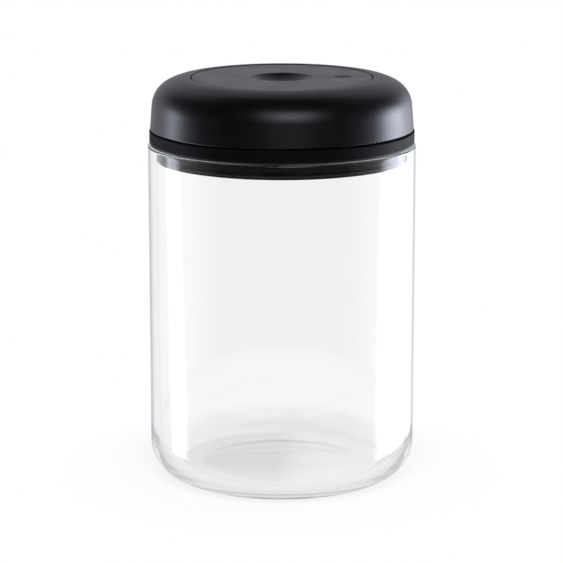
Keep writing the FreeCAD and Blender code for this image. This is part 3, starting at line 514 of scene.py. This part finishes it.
def coil(name, low, high, wire, turns):
    """A round-wire spring that fills a box from end to end."""
    centre = (low + high) / 2
    radius = (high.x - low.x) / 2 - wire
    rise = high.z - low.z - 2 * wire
    lean = rise / (turns * 2 * math.pi * radius)
    count = turns * COIL_STEPS
    shape = bmesh.new()
    rings = []
    for step in range(count + 1):
        angle = 2 * math.pi * step / COIL_STEPS
        outward = Vector((math.cos(angle), math.sin(angle), 0))
        along = Vector((-math.sin(angle), math.cos(angle), lean)).normalized()
        upward = outward.cross(along)
        axis_point = Vector((centre.x, centre.y, low.z + wire + rise * step / count))
        middle = axis_point + outward * radius
        rings.append([
            shape.verts.new(middle + (outward * math.cos(side) + upward * math.sin(side)) * wire)
            for side in round_angles(COIL_SIDES)
        ])
    joined(shape, rings)
    shape.faces.new(rings[0])
    shape.faces.new(rings[-1])
    return closed_mesh(shape, name)


def add_spring(name, node, wire, turns, material):
    """A spring that fills the imported spring's box, riding on the lid."""
    low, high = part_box(node)
    piece = new_piece(name, coil(name, low, high, wire, turns), material, "lid")
    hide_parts(node)
    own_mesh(piece)


# Screws of the bottom cover

def cross(shape, x, y, z, reach, half):
    """The corners of a level plus sign."""
    arm = [(reach, -half), (reach, half), (half, half)]
    corners = []
    for _ in range(4):
        corners += arm
        arm = [(-across, along) for along, across in arm]
    return [shape.verts.new((x + along, y + across, z)) for along, across in corners]


def edges_of(shape, loop):
    return [shape.edges.get((loop[step - 1], loop[step])) for step in range(len(loop))]


def add_screw(shape, x, y, low, high):
    """A cross-recessed screw whose head faces down."""
    outline = [
        (SCREW_HEAD - SCREW_EDGE, low),
        (SCREW_HEAD, low + SCREW_EDGE),
        (SCREW_HEAD, low + SCREW_HEAD_HEIGHT),
        (SCREW_SHANK, low + SCREW_HEAD_HEIGHT),
        (SCREW_SHANK, high),
    ]
    rings = [ring(shape, x, y, z, radius, SCREW_SEGMENTS) for radius, z in outline]
    joined(shape, rings)
    shape.faces.new(rings[-1])
    mouth = cross(shape, x, y, low, RECESS_REACH, RECESS_HALF)
    seat_height = low + RECESS_DEPTH
    seat = cross(shape, x, y, seat_height, RECESS_REACH * RECESS_TAPER, RECESS_HALF * RECESS_TAPER)
    joined(shape, [mouth, seat])
    shape.faces.new(seat)
    face_border = edges_of(shape, rings[0]) + edges_of(shape, mouth)
    bmesh.ops.triangle_fill(shape, use_beauty=True, edges=face_border)


def add_cover_screws(material):
    low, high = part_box("cover_screws")
    reach = high.x - SCREW_HEAD
    shape = bmesh.new()
    for x in (-reach, reach):
        for y in (-reach, reach):
            add_screw(shape, x, y, low.z, high.z)
    mesh = closed_mesh(shape, "cover_screw_set")
    piece = new_piece("cover_screw_set", mesh, material, "lid")
    mesh.set_sharp_from_angle(angle=math.radians(SCREW_CREASE_DEGREES))
    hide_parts("cover_screws")


def add_pieces(materials):
    add_jar(materials["jar_glass"])
    add_spring("button_coil", "button_spring", BUTTON_WIRE, BUTTON_TURNS,
               materials["steel"])
    add_spring("indicator_coil", "indicator_spring", INDICATOR_WIRE, INDICATOR_TURNS,
               materials["steel"])
    add_cover_screws(materials["steel"])


# Floor, light and camera

def light_paths(tree):
    """1 or 0 for each way to see the studio.

    plain: directly, or through glass with no mirror on the way
    glossy: in a mirror
    through: through glass, with or without mirrors on the way
    trapped: through glass, after several mirrors inside it
    """
    path = add_node(tree, "ShaderNodeLightPath").outputs
    unscattered = maths(tree, "LESS_THAN", path["Diffuse Depth"], NO_BOUNCE)
    unmirrored = maths(tree, "LESS_THAN", path["Glossy Depth"], NO_BOUNCE)
    much_mirrored = maths(tree, "GREATER_THAN", path["Glossy Depth"], ONE_BOUNCE)
    through = product(tree, path["Is Transmission Ray"], unscattered)
    return {
        "plain": largest(tree, path["Is Camera Ray"], product(tree, through, unmirrored)),
        "glossy": product(tree, path["Is Glossy Ray"], unscattered),
        "through": through,
        "trapped": product(tree, through, much_mirrored),
    }


def floor_material():
    """White where it is seen, but for the shadow, and darker where it is mirrored."""
    material, tree, bsdf = new_material("floor_white")
    place = object_place(tree)
    away = add_node(tree, "ShaderNodeVectorMath", {0: place}, operation="LENGTH").outputs["Value"]
    tone = span(tree, noise(tree, place, scale=6), WHOLE, FLOOR_TONE)
    paleness = product(tree, tone, span(tree, away, *FLOOR_FADE))
    colour = add_node(tree, "ShaderNodeCombineColor", {0: paleness, 1: paleness, 2: paleness})
    paths = light_paths(tree)
    mirrored = product(tree, span(tree, away, *FOOT_MIRRORED), span(tree, away, *FLOOR_MIRRORED))
    seen = largest(
        tree,
        paths["plain"],
        product(tree, paths["glossy"], mirrored),
        product(tree, paths["through"], span(tree, away, *FLOOR_IN_GLASS)),
    )
    feed(tree, bsdf, {
        "Base Color": colour.outputs[0],
        "Roughness": FLOOR_ROUGHNESS,
        "Specular IOR Level": 0,
        "Emission Color": (*WHITE, 1),
        "Emission Strength": product(tree, span(tree, away, *FLOOR_GLOW), seen),
    })
    return material


def add_floor():
    shape = bmesh.new()
    bmesh.ops.create_circle(shape, cap_ends=True, segments=FLOOR_SEGMENTS, radius=FLOOR_RADIUS)
    mesh = meshed(shape, "floor")
    mesh.materials.append(floor_material())
    floor = bpy.data.objects.new("floor", mesh)
    floor.location.z = FLOOR_LIFT
    bpy.context.scene.collection.objects.link(floor)


def mirrored_studio(tree, sideways, backward, height):
    """Levels that a mirror shows: pale behind and low down, dark in front and overhead."""
    far_behind = span(tree, backward, *BEHIND_FALL)
    behind = maths(tree, "SUBTRACT", span(tree, backward, *BEHIND_RISE), far_behind)
    to_side = maths(tree, "ABSOLUTE", sideways)
    side_shade = product(tree, span(tree, to_side, *SIDE_SHADE), span(tree, height, *SIDE_SHADE_RISE))
    lit_side = maths(tree, "SUBTRACT", 1, side_shade)
    sky = product(tree, span(tree, height, *LOWER_SKY), span(tree, height, *UPPER_SKY), lit_side)
    ground = product(tree, span(tree, height, *GROUND_FALL), span(tree, backward, *GROUND_BEHIND))
    return largest(tree, product(tree, behind, sky), ground)


def studio_in_glass(tree, paths, sideways, backward, height):
    """Levels that show after mirrors inside the glass, with a dim stretch left of the middle."""
    steep = span(tree, maths(tree, "ABSOLUTE", height), *STEEP_RISE)
    around = largest(tree, steep, span(tree, backward, *AROUND_RISE))
    left_dim = largest(tree, span(tree, sideways, *LEFT_DIM_FALL), span(tree, sideways, *LEFT_DIM_RISE))
    shaded = product(tree, paths["through"], around, left_dim)
    return largest(tree, shaded, product(tree, paths["trapped"], TRAPPED_LEVEL))


def add_world():
    """White where it is seen plainly, and shaded where it is mirrored."""
    world = bpy.data.worlds.new("studio")
    bpy.context.scene.world = world
    world.use_nodes = True
    tree = world.node_tree
    way = add_node(tree, "ShaderNodeTexCoord").outputs["Generated"]
    parts = add_node(tree, "ShaderNodeSeparateXYZ", {0: way}).outputs
    direction = parts["X"], parts["Y"], parts["Z"]
    paths = light_paths(tree)
    in_glass = studio_in_glass(tree, paths, *direction)
    white_share = largest(tree, paths["plain"], paths["through"])
    feed(tree, tree.nodes["Background"], {
        "Strength": largest(tree, paths["plain"], in_glass, mirrored_studio(tree, *direction)),
        "Color": blended(tree, white_share, COOL, WHITE),
    })


def soft_edges(lamp):
    """Let a lamp fade from its middle to its sides."""
    lamp.use_nodes = True
    tree = lamp.node_tree
    across = add_node(tree, "ShaderNodeNewGeometry").outputs["Parametric"]
    parts = add_node(tree, "ShaderNodeSeparateXYZ", {0: across}).outputs
    fades = []
    for part in ("X", "Y"):
        from_middle = maths(tree, "ABSOLUTE", maths(tree, "SUBTRACT", parts[part], LAMP_MIDDLE))
        fades.append(span(tree, from_middle, *LAMP_FADE))
    feed(tree, tree.nodes["Emission"], {"Strength": product(tree, *fades)})


def add_softbox(name, azimuth, elevation, distance, width, height, radiance, tint,
                lean=0, mirrored=True):
    """A lamp with soft sides that faces the object. Azimuth 0 is behind it and 90 on its right."""
    around, up = math.radians(azimuth), math.radians(elevation)
    way = Vector((math.sin(around) * math.cos(up), math.cos(around) * math.cos(up), math.sin(up)))
    lamp = bpy.data.lights.new(name, "AREA")
    lamp.shape = "RECTANGLE"
    lamp.size = width
    lamp.size_y = height
    lamp.energy = radiance * math.pi * width * height
    lamp.color = tint
    soft_edges(lamp)
    box = bpy.data.objects.new(name, lamp)
    bpy.context.scene.collection.objects.link(box)
    box.location = LAMP_TARGET + way * distance
    facing = (-way).to_track_quat("-Z", "Y")
    box.rotation_euler = (facing @ Quaternion((0, 0, 1), math.radians(lean))).to_euler()
    box.visible_camera = False
    box.visible_transmission = False
    box.visible_glossy = mirrored


def add_lamps():
    add_softbox("left_box", azimuth=-80, elevation=-18, distance=0.9, width=0.34, height=1.2,
                radiance=5.4, tint=SIDE_COOL, lean=25)
    add_softbox("right_box", azimuth=72, elevation=-16, distance=0.9, width=0.66, height=1.2,
                radiance=7.9, tint=SIDE_COOL, lean=-15)
    add_softbox("right_back_box", azimuth=44, elevation=-14, distance=0.9, width=0.6, height=1.2,
                radiance=1.3, tint=SIDE_COOL)
    add_softbox("front_box", azimuth=172, elevation=29, distance=1.3, width=1.12, height=1.0,
                radiance=2.7, tint=COOL)
    add_softbox("fill_box", azimuth=180, elevation=45, distance=1.5, width=1.6, height=1.6,
                radiance=4.7, tint=COOL, mirrored=False)


def add_camera():
    camera = bpy.data.objects.new("camera", bpy.data.cameras.new("camera"))
    bpy.context.scene.collection.objects.link(camera)
    camera.data.lens = CAMERA_LENS
    camera.data.clip_end = CAMERA_REACH
    camera.location = CAMERA_PLACE
    camera.rotation_euler = (math.radians(90 - CAMERA_PITCH), 0, 0)
    bpy.context.scene.camera = camera


def allow_inner_reflections():
    """Let a path bounce long enough inside the thick glass to leave it again."""
    paths = bpy.context.scene.cycles
    paths.max_bounces = MOST_BOUNCES
    paths.glossy_bounces = MOST_GLASS_BOUNCES
    paths.transmission_bounces = MOST_GLASS_BOUNCES


bpy.context.scene.view_settings.view_transform = "Standard"
allow_inner_reflections()
finishes = make_materials()
dress_nodes(finishes)
add_pieces(finishes)
add_floor()
add_world()
add_lamps()
add_camera()
bpy.context.view_layer.update()
